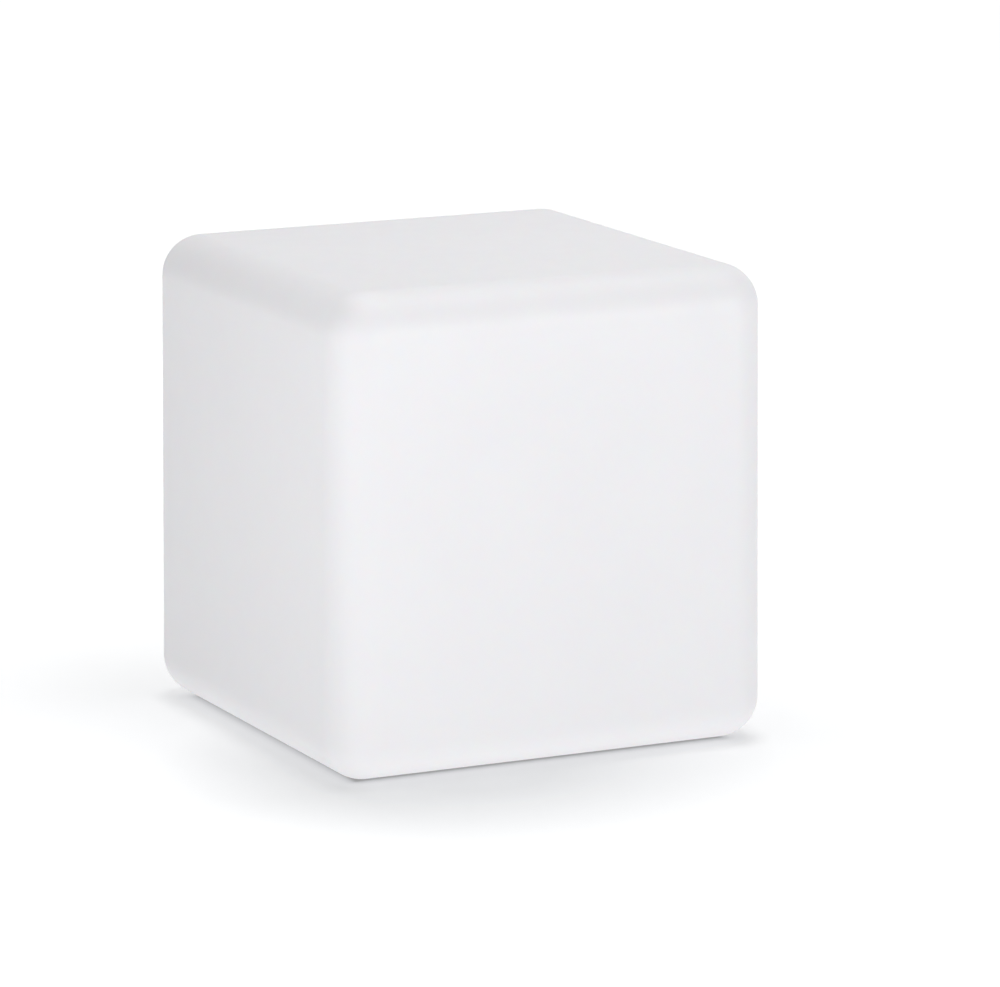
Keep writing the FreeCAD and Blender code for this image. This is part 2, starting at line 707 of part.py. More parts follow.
def cover_anchor():
    """Fixed end of the strap, with the stud that snaps into the module."""
    body = new_body("CoverAnchor")
    end = sketch_on(body, "XY_Plane", "port_x", "bend_y + anchor_length / 2", "module_face")
    rectangle(end, "strap_width", "anchor_length")
    pad(body, end, "cover_thickness + cover_lift")
    turned(body, [("0", "cover_seat_top - bite"), ("stud_diameter / 2", "cover_seat_top - bite"),
                  ("stud_diameter / 2", "floor_top"), ("stud_head_diameter / 2", "floor_top"),
                  ("stud_diameter / 2", "floor_top + stud_head_height"),
                  ("0", "floor_top + stud_head_height")], "port_x", "stud_y")
    return body


def charging_jack():
    body = cut(box("jack_side", "jack_side", "jack_height", "port_x", "panel_y", "floor_top"),
               [cylinder("jack_bore / 2", "jack_bore_depth", "port_x", "panel_y", "floor_top")])
    pin = cylinder("jack_pin / 2", "jack_height - jack_pin_inset", "port_x", "panel_y",
                   "floor_top + jack_pin_inset")
    return fuse([body, pin])


def charge_light_pipe():
    body = new_body("ChargeLightPipe")
    lip_top = "floor_top + pipe_lip_thickness"
    turned(body, [("0", "module_face"), ("pipe_diameter / 2", "module_face"),
                  ("pipe_diameter / 2", "floor_top"), ("pipe_lip_diameter / 2", "floor_top"),
                  ("pipe_lip_diameter / 2", lip_top), ("pipe_diameter / 2", lip_top),
                  ("pipe_diameter / 2", "pipe_top"), ("0", "pipe_top")], "0", "panel_y")
    return body


def vent_plug():
    body = new_body("VentPlug")
    cap_top = "module_face + vent_cap_height"
    barb_top = "floor_top + vent_lip_height"
    turned(body, [("vent_bore / 2", "module_face"), ("vent_cap_diameter / 2", "module_face"),
                  ("vent_cap_diameter / 2", cap_top), ("vent_diameter / 2", cap_top),
                  ("vent_diameter / 2", "floor_top"), ("vent_diameter / 2 + vent_lip", "floor_top"),
                  ("vent_diameter / 2", barb_top), ("vent_bore / 2", barb_top)], "vent_x", "panel_y")
    return body


# The control board

def control_board():
    board = box("board_length", "board_width", "board_thickness", "0", "panel_y", "board_bottom")
    holes = []
    for x, y in board_screw_places():
        holes.append(cylinder("small_thread / 2 + hole_play", "board_thickness", x, y, "board_bottom"))
    return cut(board, holes)


def control_parts():
    """Parts soldered on the control board, placed in shares of the board from its middle."""
    coil = ("coil_side", "coil_side", "coil_height")
    circuit = ("circuit_side", "circuit_side", "circuit_height")
    small = ("small_part_length", "small_part_width", "small_part_height")
    on_top = [(coil, -0.15, 0.24), (coil, 0.18, 0.29), (circuit, -0.3, -0.05), (circuit, -0.15, -0.05),
              (small, 0.32, 0.05), (small, 0.32, 0.15), (small, -0.3, 0.15)]
    items = []
    for (length, width, height), across, up in on_top:
        items.append(box(length, width, height, f"board_length * {across}",
                         f"panel_y + board_width * {up}", "board_top"))
    items.append(box("plug_side", "plug_side", "plug_height", "0", "plug_y", "board_top"))
    items.append(box("plug_side", "plug_side", "plug_height", "(board_length - plug_side) / 2",
                     "battery_plug_y", "board_bottom - plug_height"))
    items.append(box("indicator_side", "indicator_side", "indicator_height", "0", "panel_y",
                     "board_bottom - indicator_height"))
    return group(items)


def board_screws():
    body = new_body("BoardScrews")
    for x, y in board_screw_places():
        screw(body, "small_head_diameter", "small_head_height", "small_thread", "small_screw_length",
              "board_top", x, y)
    return body


# The battery

def cell_hollows(length):
    """Round bars a little larger than the cells, to cut their seats."""
    bars = []
    for y in ("near_cell_y", "far_cell_y"):
        bars.append(cylinder("cell_radius + cell_play", length, f"-({length}) / 2", y, "cell_level",
                             along_x=True))
    return bars


def battery_cradle():
    block = box("cradle_length", "cells_width", "cradle_height", "0", "cells_y", "floor_top")
    return cut(block, cell_hollows("cradle_length + 2 * overcut"))


def battery_cells():
    body = new_body("BatteryCells")
    side = "cell_radius"
    inner = "cell_radius - cell_rounding"
    for y in ("near_cell_y", "far_cell_y"):
        turned(body, [("0", "0"), (inner, "0"), (side, "cell_rounding"), (side, "cell_groove"),
                      (inner, "cell_groove + cell_rounding"), (inner, "cell_groove_end - cell_rounding"),
                      (side, "cell_groove_end"), (side, "cell_shoulder - cell_rounding"),
                      (inner, "cell_shoulder"), ("cell_nub_diameter / 2", "cell_shoulder"),
                      ("cell_nub_diameter / 2", "cell_length"), ("0", "cell_length")], "0", y)
    body.Placement.Rotation = FreeCAD.Rotation(Vector(0, 1, 0), 90)
    bind(body, "Placement.Base.x", "-cell_length / 2")
    bind(body, "Placement.Base.z", "cell_level")
    return body


def battery_tabs():
    tabs = []
    for x in ("-(cell_length + tab_thickness) / 2", "(cell_length + tab_thickness) / 2"):
        tabs.append(box("tab_thickness", "cell_pitch + 2 * tab_margin", "tab_height", x, "cells_y",
                        "cell_level - tab_height / 2"))
    return group(tabs)


def battery_clamp():
    saddle = box("clamp_length", "cells_width", "clamp_grip + clamp_rise", "0", "cells_y",
                 "clamp_top - clamp_grip - clamp_rise")
    ears = box("2 * ear_reach + ear_width", "ear_width", "ear_thickness", "0", "cells_y", "ear_bottom")
    holes = cell_hollows("clamp_length + 2 * overcut")
    for x, y in ear_places():
        holes.append(cylinder("small_thread / 2 + hole_play", "ear_thickness", x, y, "ear_bottom"))
    return cut(fuse([saddle, ears]), holes)


def clamp_screws():
    body = new_body("ClampScrews")
    for x, y in ear_places():
        screw(body, "small_head_diameter", "small_head_height", "small_thread", "small_screw_length",
              "clamp_top", x, y)
    return body


# The leads

def lead(name, corners):
    """A round lead of straight runs joined by tangent arcs."""
    points = [Vector(*(value(text) for text in corner)) for corner in corners]
    bend = value("lead_bend")
    edges = []
    start = points[0]
    for before, here, after in zip(points, points[1:], points[2:]):
        into = (here - before).normalize()
        out = (after - here).normalize()
        turn = into.getAngle(out)
        back = bend * math.tan(turn / 2)
        leave = here - into * back
        join = here + out * back
        centre_way = (out - into).normalize()
        middle = here + centre_way * (bend / math.cos(turn / 2) - bend)
        edges.append(Part.LineSegment(start, leave).toShape())
        edges.append(Part.Arc(leave, middle, join).toShape())
        start = join
        print(f"{name}: bend radius {bend:.1f}, lead diameter {value('lead_diameter'):.1f}")
    edges.append(Part.LineSegment(start, points[-1]).toShape())
    length = sum(edge.Length for edge in edges)
    radius = value("lead_diameter") / 2
    section = Part.Wire(Part.Circle(points[0], (points[1] - points[0]).normalize(), radius).toShape())
    shape = Part.Wire(edges).makePipeShell([section], True, False)
    volume = math.pi * radius ** 2 * length
    print(f"{name}: length {length:.1f}, volume {shape.Volume:.1f} for {volume:.1f}")
    item = doc.addObject("Part::Feature", name)
    item.Shape = shape
    item.Placement = FreeCAD.Placement()
    return item


def led_lead():
    """From its plug on the control board, up, and over to its plug on the LED board."""
    low = "board_top + plug_height / 2"
    high = "led_board_top + plug_height / 2"
    return lead("LedLead", [("0", "plug_y - plug_side / 2", low), ("0", "lead_y", low),
                            ("0", "lead_y", high), ("0", "led_plug_y + plug_side / 2", high)])


def battery_lead():
    """From the near cell's tab round to its plug under the control board."""
    level = "board_bottom - plug_height / 2"
    return lead("BatteryLead", [("cell_length / 2 + tab_thickness", "near_cell_y", level),
                                ("lead_turn_x", "near_cell_y", level),
                                ("lead_turn_x", "battery_plug_y", level),
                                ("board_length / 2", "battery_plug_y", level)])


# The light source

def tray_seal():
    body = new_body("TraySeal")
    turned(body, ring("cup_inside", "cup_radius", "cup_rim", "tray_bottom"))
    return body


def led_tray():
    body = new_body("LedTray")
    turned(body, bar("cup_radius", "tray_bottom", "tray_top"))
    turned_cut(body, ring("dome_radius - dome_wall - dome_seat_play", "dome_radius + dome_seat_play",
                          "dome_bottom", "tray_top + overcut"))
    hole = turned_cut(body, bar("thread / 2 + hole_play", "tray_bottom - overcut", "tray_top + overcut"),
                      "tray_screw_radius")
    around(body, [hole], "4")
    pilot = turned_cut(body, bar("small_thread / 2 + thread_play", "tray_bottom - overcut",
                                 "tray_top + overcut"), "led_screw_radius")
    around(body, [pilot], "3")
    turned_cut(body, bar("lead_hole / 2", "tray_bottom - overcut", "tray_top + overcut"), "0", "lead_hole_y")
    return body


def tray_screws():
    body = new_body("TrayScrews")
    around(body, screw(body, "head_diameter", "head_height", "thread", "tray_screw_length", "tray_top",
                       "tray_screw_radius"), "4")
    return body


def led_board():
    body = new_body("LedBoard")
    turned(body, bar("led_board_radius", "tray_top", "led_board_top"))
    hole = turned_cut(body, bar("small_thread / 2 + hole_play", "tray_top - overcut",
                                "led_board_top + overcut"), "led_screw_radius")
    around(body, [hole], "3")
    turned_cut(body, bar("lead_hole / 2", "tray_top - overcut", "led_board_top + overcut"),
               "0", "lead_hole_y")
    return body


def led_board_screws():
    body = new_body("LedBoardScrews")
    around(body, screw(body, "small_head_diameter", "small_head_height", "small_thread",
                       "led_screw_length", "led_board_top", "led_screw_radius"), "3")
    return body


def led_chips():
    """Two rings of square chips."""
    body = new_body("LedChips")
    for radius, count in (("inner_ring_radius", "inner_ring_count"),
                          ("outer_ring_radius", "outer_ring_count")):
        spot = sketch_on(body, "XY_Plane", radius, "0", "led_board_top")
        rectangle(spot, "chip_side", "chip_side")
        around(body, [pad(body, spot, "chip_height")], count)
    return body


def led_plug():
    return box("plug_side", "plug_side", "plug_height", "0", "led_plug_y", "led_board_top")


def diffuser_dome():
    body = new_body("DiffuserDome")
    sketch = sketch_on(body, "XZ_Plane")
    base = value("dome_bottom")
    middle = value("dome_centre")
    outer = value("dome_radius")
    inner = value("dome_radius - dome_wall")
    centre = Vector(0, middle, 0)
    upwards = Vector(0, 0, 1)
    lines = [((inner, base), (outer, base)), ((outer, base), (outer, middle)),
             ((0, middle + outer), (0, middle + inner)), ((inner, middle), (inner, base))]
    foot, side, crown, back = [
        sketch.addGeometry(Part.LineSegment(Vector(*start, 0), Vector(*end, 0)), False)
        for start, end in lines]
    outside, inside = [
        sketch.addGeometry(Part.ArcOfCircle(Part.Circle(centre, upwards, radius), 0, math.pi / 2), False)
        for radius in (outer, inner)]
    joins = [(foot, 2, side, 1), (side, 2, outside, 1), (outside, 2, crown, 1), (crown, 2, inside, 2),
             (inside, 1, back, 1), (back, 2, foot, 1), (outside, 3, inside, 3)]
    for join in joins:
        sketch.addConstraint(Sketcher.Constraint("Coincident", *join))
    hold(sketch, foot, 1, "dome_radius - dome_wall", "dome_bottom")
    hold(sketch, foot, 2, "dome_radius", "dome_bottom")
    hold(sketch, side, 2, "dome_radius", "dome_centre")
    hold(sketch, back, 1, "dome_radius - dome_wall", "dome_centre")
    hold(sketch, outside, 3, "0", "dome_centre")
    for end in (1, 2):
        sketch.addConstraint(Sketcher.Constraint("PointOnObject", crown, end, -2))
    item = feature(body, "Revolution", sketch)
    item.ReferenceAxis = (sketch, ["V_Axis"])
    item.Angle = 360
    doc.recompute()
    return body


BUILDERS = [
    cube_shell, cube_floor, rubber_feet, insert_nuts, module_gasket, module_base, module_screws,
    power_button, button_seal, switch_plunger, tact_switch, charge_port_cover, cover_anchor,
    charging_jack, charge_light_pipe, vent_plug, control_board, control_parts, board_screws,
    battery_cradle, battery_cells, battery_tabs, battery_clamp, clamp_screws, battery_lead, tray_seal,
    led_tray, tray_screws, led_board, led_chips, led_plug, led_board_screws, led_lead, diffuser_dome,
]

for builder in BUILDERS:
    node(builder.__name__, builder())
doc.recompute()

for item in doc.Objects:
    if "Invalid" in item.State or "Error" in item.State:
        raise RuntimeError(f"{item.Name} failed: {item.State}")
for name, item in NODES.items():
    if item.Shape.isNull() or not item.Shape.isValid():
        raise RuntimeError(f"{name} has no valid shape")

os.makedirs("parts", exist_ok=True)
for name, item in NODES.items():
    item.Shape.exportStep(f"parts/{name}.step")
    print(f"{name}: {len(item.Shape.Solids)} solids, {item.Shape.Volume / 1000:.2f} cm3")
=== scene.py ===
import json
import math

import bmesh
import bpy
from mathutils import Matrix, Vector
from mathutils.geometry import delaunay_2d_cdt

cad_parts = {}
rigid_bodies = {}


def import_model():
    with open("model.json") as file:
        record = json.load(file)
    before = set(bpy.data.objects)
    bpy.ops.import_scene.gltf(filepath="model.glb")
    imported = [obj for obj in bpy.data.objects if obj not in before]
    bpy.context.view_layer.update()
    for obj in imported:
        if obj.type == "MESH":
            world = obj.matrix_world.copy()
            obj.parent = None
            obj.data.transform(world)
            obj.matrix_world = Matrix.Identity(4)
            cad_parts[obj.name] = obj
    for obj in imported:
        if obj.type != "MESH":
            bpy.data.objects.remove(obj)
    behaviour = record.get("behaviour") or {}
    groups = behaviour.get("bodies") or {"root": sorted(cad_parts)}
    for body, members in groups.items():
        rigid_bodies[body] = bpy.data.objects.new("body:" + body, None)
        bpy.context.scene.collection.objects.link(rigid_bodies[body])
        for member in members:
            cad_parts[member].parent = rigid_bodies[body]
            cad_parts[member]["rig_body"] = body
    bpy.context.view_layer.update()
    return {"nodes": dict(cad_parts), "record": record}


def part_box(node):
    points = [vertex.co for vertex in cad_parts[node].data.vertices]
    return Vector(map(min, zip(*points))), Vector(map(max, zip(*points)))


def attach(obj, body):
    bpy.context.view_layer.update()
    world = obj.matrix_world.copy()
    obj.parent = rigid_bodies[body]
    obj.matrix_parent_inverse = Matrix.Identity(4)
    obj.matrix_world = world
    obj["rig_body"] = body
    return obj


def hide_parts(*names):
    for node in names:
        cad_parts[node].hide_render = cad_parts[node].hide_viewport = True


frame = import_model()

nodes = frame["nodes"]
node_slots = {entry["node"]: entry["material_slot"] for entry in frame["record"]["subparts"]}

# The cordless cube light. The scene is in metres; the mesh code below works in millimetres.
MM = 0.001
ROOT = "root"


# Mesh making

JOIN_STEPS = 1000  # vertices at the same place to this part of a millimetre are one
CORNER_STEPS = 4  # faces round a profile's rounded corner
FLAT_TOLERANCE = 1e-5


class Skin:
    """A mesh in the making: joined vertices, and a normal of its own at each face corner."""

    def __init__(self):
        self.points = []
        self.seen = {}
        self.faces = []
        self.normals = []

    def vertex(self, place):
        key = tuple(round(part * JOIN_STEPS) for part in place)
        if key not in self.seen:
            self.seen[key] = len(self.points)
            self.points.append([part * MM for part in place])
        return self.seen[key]

    def face(self, places, normals):
        corners, kept = [], []
        for place, normal in zip(places, normals):
            index = self.vertex(place)
            if index not in corners:
                corners.append(index)
                kept.append(normal)
        if len(corners) > 2:
            self.faces.append(corners)
            self.normals.extend(kept)

    def piece(self, name, material, slot, body, *replaced):
        mesh = bpy.data.meshes.new(name)
        mesh.from_pydata(self.points, [], self.faces)
        mesh.polygons.foreach_set("use_smooth", [True] * len(mesh.polygons))
        mesh.normals_split_custom_set(self.normals)
        add_piece(name, mesh, material, slot, body, *replaced)


def add_piece(name, mesh, material, slot, body, *replaced):
    item = bpy.data.objects.new(name, mesh)
    bpy.context.scene.collection.objects.link(item)
    mesh.materials.clear()
    mesh.materials.append(material)
    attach(item, body)
    if replaced:
        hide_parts(*replaced)
    return item


def soften(corners, steps):
    """A profile's runs with its corners (radius, level, rounding) rounded, and its straights."""
    places = [Vector(corner[:2]) for corner in corners]
    roundings = [corner[2] if len(corner) > 2 else 0 for corner in corners]
    ways = [(after - here).normalized() for here, after in zip(places, places[1:])]
    outs = [Vector((way.y, -way.x)) for way in ways]
    runs, straights = [], []
    start = places[0]
    for index, (way, out) in enumerate(zip(ways, outs)):
        last = index == len(ways) - 1
        turn = 0 if last else math.atan2(way.cross(ways[index + 1]), way.dot(ways[index + 1]))
        rounding = roundings[index + 1]
        stop = places[index + 1] - way * rounding * math.tan(abs(turn) / 2)
        runs.append((start, out, stop, out, index))
        straights.append((start, stop))
        start = stop
        if turn and rounding:
            side = 1 if turn > 0 else -1
            middle = stop - out * rounding * side
            here, facing = stop, out
            for step in range(1, steps + 1):
                next_out = out.copy()
                next_out.rotate(Matrix.Rotation(turn * step / steps, 2))
                there = middle + next_out * rounding * side
                runs.append((here, facing, there, next_out, None))
                here, facing = there, next_out
            start = here
    return runs, straights


def lathe(skin, corners, count, x=0, y=0, skip=(), steps=CORNER_STEPS):
    """Turn a profile about an upright line; what lies to the right of its way is outside.

    The straights in skip get no faces. Gives back the start and stop of every straight.
    """
    runs, straights = soften(corners, steps)
    angles = [2 * math.pi * step / count for step in range(count)]
    for here, facing, there, next_facing, index in runs:
        if index is not None and index in skip:
            continue
        for angle, after in zip(angles, angles[1:] + angles[:1]):
            places, normals = [], []
            for point, out, way in ((here, facing, angle), (here, facing, after),
                                    (there, next_facing, after), (there, next_facing, angle)):
                places.append((x + point.x * math.cos(way), y + point.x * math.sin(way), point.y))
                normals.append((out.x * math.cos(way), out.x * math.sin(way), out.y))
            skin.face(places, normals)
    return straights


def circle(radius, count, x=0, y=0):
    """The corners that lathe() gives at this radius."""
    angles = [2 * math.pi * step / count for step in range(count)]
    return [(x + radius * math.cos(angle), y + radius * math.sin(angle)) for angle in angles]


def encloses(loop, place):
    inside = False
    for (x, y), (next_x, next_y) in zip(loop, loop[1:] + loop[:1]):
        if (y > place[1]) != (next_y > place[1]):
            inside ^= place[0] < x + (place[1] - y) / (next_y - y) * (next_x - x)
    return inside


def fill(skin, level, outer, holes, up):
    """A flat face between an outer loop and its holes."""
    flat, edges = [], []
    for loop in [outer] + holes:
        first = len(flat)
        edges += [(first + step, first + (step + 1) % len(loop)) for step in range(len(loop))]
        flat += loop
    made = delaunay_2d_cdt([Vector(place) for place in flat], edges, [], 0, FLAT_TOLERANCE)
    _, _, faces, origins, _, _ = made
    normal = (0, 0, 1 if up else -1)
    for face in faces:
        corners = [flat[origins[index][0]] for index in face]
        middle = [sum(corner[axis] for corner in corners) / len(corners) for axis in (0, 1)]
        if not encloses(outer, middle) or any(encloses(hole, middle) for hole in holes):
            continue
        (ax, ay), (bx, by), (cx, cy) = corners[:3]
        if ((bx - ax) * (cy - ay) - (by - ay) * (cx - ax) > 0) != up:
            corners.reverse()
        skin.face([(*corner, level) for corner in corners], [normal] * len(corners))


# The cube

DRAFT = math.radians(0.34)
SHELL_WALL = 3
EDGE_RADIUS = 26.6
ROUND_STEPS = 12  # faces from a side to the middle of its edge's rounding
FLAT_SPLITS = 10

# The cube's floor round the module: a collar that rises inside, with a mouth through it, and
# the recess that holds the module from below.
COLLAR_RADIUS, COLLAR_TOP = 77, 10
MOUTH_RADIUS = 61
RECESS_RADIUS, RECESS_TOP = 74, 7

# A boss on the collar over each screw, with the seat of its insert below.
BOSS_RADIUS, BOSS_TOP = 5.5, 16.2
INSERT_RADIUS, INSERT_TOP = 2.55, 14.2
SCREW_PLACE = 67.5
SCREW_SPOTS = [(SCREW_PLACE, 0), (0, SCREW_PLACE), (-SCREW_PLACE, 0), (0, -SCREW_PLACE)]

# A pad inside over each foot, with the foot's seat below.
PAD_RADIUS, PAD_TOP = 13.1, 7
FOOT_SEAT_RADIUS, FOOT_SEAT_TOP = 10.1, 4
FOOT_PLACE = 100
FOOT_SPOTS = [(x, y) for x in (-FOOT_PLACE, FOOT_PLACE) for y in (-FOOT_PLACE, FOOT_PLACE)]

SEAT_END_ROUNDING = 0.2
MODULE_COUNT, FOOT_COUNT, SCREW_COUNT = 144, 48, 32  # corners of a full turn
LEAD_IN = 2  # length of flat that a profile starts or ends with, to be filled afterwards


def stations():
    """Ways across one side of the block: place of the rounding's centre, and angle.

    A side takes half of the rounding at each of its edges, which is 45 degrees.
    """
    bends = [45 * step / ROUND_STEPS for step in range(ROUND_STEPS + 1)]
    low = [(-1, -math.radians(bend)) for bend in reversed(bends)]
    flat = [(-1 + 2 * step / FLAT_SPLITS, 0.0) for step in range(1, FLAT_SPLITS)]
    return low + flat + [(1, math.radians(bend)) for bend in bends]


def block_point(spot, way, half, low, high, radius):
    """Point and normal of a block with draft and one rounding on every edge."""
    middle = (low + high) / 2
    level = middle + spot[2] * ((high - low) / 2 - radius)
    inset = half - (level - low) * math.tan(DRAFT) - radius / math.cos(DRAFT)
    across = math.atan2(way[1], way[0])
    rise = math.atan2(way[2], math.hypot(way[0], way[1]))
    lean = math.atan(math.tan(DRAFT) * (abs(math.cos(across)) + abs(math.sin(across))))
    span = math.pi / 2 - lean if rise > 0 else math.pi / 2 + lean
    rise = lean + rise * span / (math.pi / 2)
    normal = (math.cos(rise) * math.cos(across), math.cos(rise) * math.sin(across), math.sin(rise))
    centre = (spot[0] * inset, spot[1] * inset, level)
    return [part + radius * out for part, out in zip(centre, normal)], normal


def rounded_block(skin, half, low, high, radius, inward):
    """The block's faces without the flat of its underside; gives back that flat's outline."""
    marks = stations()
    for axis in range(3):
        for sign in (-1, 1):
            for left, right in zip(marks, marks[1:]):
                for near, far in zip(marks, marks[1:]):
                    flat = left[1] == right[1] == near[1] == far[1] == 0
                    if flat and axis == 2 and sign < 0:
                        continue
                    places, normals = [], []
                    for mark, other in ((left, near), (right, near), (right, far), (left, far)):
                        spot, way = [0, 0, 0], [0, 0, 0]
                        spot[axis] = way[axis] = sign
                        spot[(axis + 1) % 3], way[(axis + 1) % 3] = mark[0], math.tan(mark[1])
                        spot[(axis + 2) % 3], way[(axis + 2) % 3] = other[0], math.tan(other[1])
                        place, normal = block_point(spot, way, half, low, high, radius)
                        places.append(place)
                        normals.append([-part for part in normal] if inward else normal)
                    if (sign < 0) != inward:
                        places.reverse()
                        normals.reverse()
                    skin.face(places, normals)
    edge = half - radius * math.tan(DRAFT) - radius / math.cos(DRAFT)
    spots = [edge * (-1 + 2 * step / FLAT_SPLITS) for step in range(FLAT_SPLITS)]
    return ([(spot, -edge) for spot in spots] + [(edge, spot) for spot in spots]
            + [(-spot, edge) for spot in spots] + [(-edge, -spot) for spot in spots])


def make_boss(skin, radius, level, top, count, spot, foot_rounding, end_rounding):
    """A round boss on a flat; gives back the loop where it leaves the flat."""
    corners = [(radius + LEAD_IN, level), (radius, level, foot_rounding),
               (radius, top, end_rounding), (0, top)]
    straights = lathe(skin, corners, count, *spot, skip=(0,))
    return circle(straights[0][1].x, count, *spot)


def make_seat(skin, radius, level, top, count, spot, mouth_rounding):
    """A round hole up into a flat, closed at its top; gives back the loop of its mouth."""
    corners = [(0, top), (radius, top, SEAT_END_ROUNDING), (radius, level, mouth_rounding),
               (radius + LEAD_IN, level)]
    straights = lathe(skin, corners, count, *spot, skip=(2,))
    return circle(straights[2][0].x, count, *spot)


def make_shell(material):
    """The hollow cube as one skin: outside, inside, and all that is moulded into its floor."""
    skin = Skin()
    lowest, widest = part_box("cube_floor")
    low, high = lowest.z / MM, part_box("cube_shell")[1].z / MM
    floor = low + SHELL_WALL
    half = widest.x / MM + EDGE_RADIUS * (math.tan(DRAFT) + 1 / math.cos(DRAFT) - 1)
    underside = rounded_block(skin, half, low, high, EDGE_RADIUS, False)
    inner = rounded_block(skin, half - SHELL_WALL, floor, high - SHELL_WALL,
                          EDGE_RADIUS - SHELL_WALL, True)

    spans = lathe(skin, [(COLLAR_RADIUS + LEAD_IN, floor), (COLLAR_RADIUS, floor, 0.5),
                         (COLLAR_RADIUS, COLLAR_TOP, 0.5), (MOUTH_RADIUS, COLLAR_TOP, 0.4),
                         (MOUTH_RADIUS, RECESS_TOP, 0.4), (RECESS_RADIUS, RECESS_TOP, 0.2),
                         (RECESS_RADIUS, low, 0.6), (RECESS_RADIUS + LEAD_IN, low)],
                  MODULE_COUNT, skip=(0, 2, 4, 6))
    floor_span, _, collar_span, _, ledge_span, _, underside_span = spans
    bosses, seats = [], []
    for spot in SCREW_SPOTS:
        bosses.append(make_boss(skin, BOSS_RADIUS, COLLAR_TOP, BOSS_TOP, SCREW_COUNT, spot,
                                foot_rounding=0.3, end_rounding=0.6))
        seats.append(make_seat(skin, INSERT_RADIUS, RECESS_TOP, INSERT_TOP, SCREW_COUNT, spot,
                               mouth_rounding=0.2))
    collar_outer, collar_inner = [circle(end.x, MODULE_COUNT) for end in collar_span]
    ledge_inner, ledge_outer = [circle(end.x, MODULE_COUNT) for end in ledge_span]
    fill(skin, COLLAR_TOP, collar_outer, bosses + [collar_inner], True)
    fill(skin, RECESS_TOP, ledge_outer, seats + [ledge_inner], False)

    foot_seats, pads = [], []
    for spot in FOOT_SPOTS:
        foot_seats.append(make_seat(skin, FOOT_SEAT_RADIUS, low, FOOT_SEAT_TOP, FOOT_COUNT, spot,
                                    mouth_rounding=0.4))
        pads.append(make_boss(skin, PAD_RADIUS, floor, PAD_TOP, FOOT_COUNT, spot,
                              foot_rounding=0.5, end_rounding=0.5))
    fill(skin, low, underside, foot_seats + [circle(underside_span[0].x, MODULE_COUNT)], False)
    fill(skin, floor, inner, pads + [circle(floor_span[1].x, MODULE_COUNT)], True)
    skin.piece("shell", material, "shell_plastic", ROOT, "cube_shell", "cube_floor")


# Materials

PLASTIC_IOR = 1.5
ACRYLIC_IOR = 1.49
SILICONE_IOR = 1.42
NOISE_DETAIL = 3
GLOSS_PATCHES = 4  # patches of gloss along one patch of colour
BOARD_ROUGH = (0.3, 0.4)
TRACK_SHARE = 0.08
TRACK_HEIGHT = 3e-5


def add_node(tree, kind, **values):
    item = tree.nodes.new(f"ShaderNode{kind}")
    for name, given in values.items():
        if name in item.bl_rna.properties:
            setattr(item, name, given)
        else:
            item.inputs[name.replace("_", " ")].default_value = given
    return item


def coordinates(tree, stretch=(1, 1, 1)):
    """The object's own coordinates in metres, stretched where a grain runs one way."""
    place = add_node(tree, "TexCoord")
    mapping = add_node(tree, "Mapping", Scale=stretch)
    tree.links.new(place.outputs["Object"], mapping.inputs["Vector"])
    return mapping.outputs["Vector"]


def noise(tree, where, scale):
    item = add_node(tree, "TexNoise", Scale=scale, Detail=NOISE_DETAIL)
    tree.links.new(where, item.inputs["Vector"])
    return item.outputs["Fac"]


def spread(tree, source, low, high, start=0.35, end=0.65):
    """From low to high as the source goes from start to end; without them, over a noise's range."""
    item = add_node(tree, "MapRange")
    for name, given in (("From Min", start), ("From Max", end), ("To Min", low), ("To Max", high)):
        item.inputs[name].default_value = given
    tree.links.new(source, item.inputs["Value"])
    return item.outputs["Result"]


def blend_colours(tree, factor, first, second):
    item = tree.nodes.new("ShaderNodeMix")
    item.data_type = "RGBA"
    colours = [socket for socket in item.inputs if socket.type == "RGBA"]
    for socket, given in zip(colours, (first, second)):
        if isinstance(given, tuple):
            socket.default_value = (*given, 1)
        else:
            tree.links.new(given, socket)
    tree.links.new(factor, item.inputs[0])
    return next(socket for socket in item.outputs if socket.type == "RGBA")


def bump(tree, height, distance):
    item = add_node(tree, "Bump", Distance=distance)
    tree.links.new(height, item.inputs["Height"])
    return item.outputs["Normal"]


def surface(name, first, second, rough, patch, fine, depth, stretch=(1, 1, 1), **sockets):
    """A surface with slight patches of colour, uneven gloss and a fine grain.

    patch and fine are noise scales, and depth is the grain's height in metres.
    """
    material = bpy.data.materials.new(name)
    material.use_nodes = True
    tree = material.node_tree
    shader = tree.nodes["Principled BSDF"]
    where = coordinates(tree, stretch)
    patches = spread(tree, noise(tree, where, patch), 0, 1)
    tree.links.new(blend_colours(tree, patches, first, second), shader.inputs["Base Color"])
    gloss = noise(tree, where, patch * GLOSS_PATCHES)
    tree.links.new(spread(tree, gloss, *rough), shader.inputs["Roughness"])
    tree.links.new(bump(tree, noise(tree, where, fine), depth), shader.inputs["Normal"])
    for socket, given in sockets.items():
        shader.inputs[socket.replace("_", " ")].default_value = given
    return material


def board_surface(name, mask, mask_shade, track, pitch):
    """Solder mask over tracks of another shade, pitch metres apart."""
    material = surface(name, mask, mask_shade, BOARD_ROUGH, patch=60, fine=2500, depth=5e-6)
    tree = material.node_tree
    shader = tree.nodes["Principled BSDF"]
    base = shader.inputs["Base Color"].links[0].from_socket
    bricks = add_node(tree, "TexBrick", Scale=1 / pitch, Mortar_Size=TRACK_SHARE)
    tree.links.new(coordinates(tree), bricks.inputs["Vector"])
    tracks = bricks.outputs["Fac"]
    tree.links.new(blend_colours(tree, tracks, base, track), shader.inputs["Base Color"])
    tree.links.new(bump(tree, tracks, TRACK_HEIGHT), shader.inputs["Normal"])
    return material


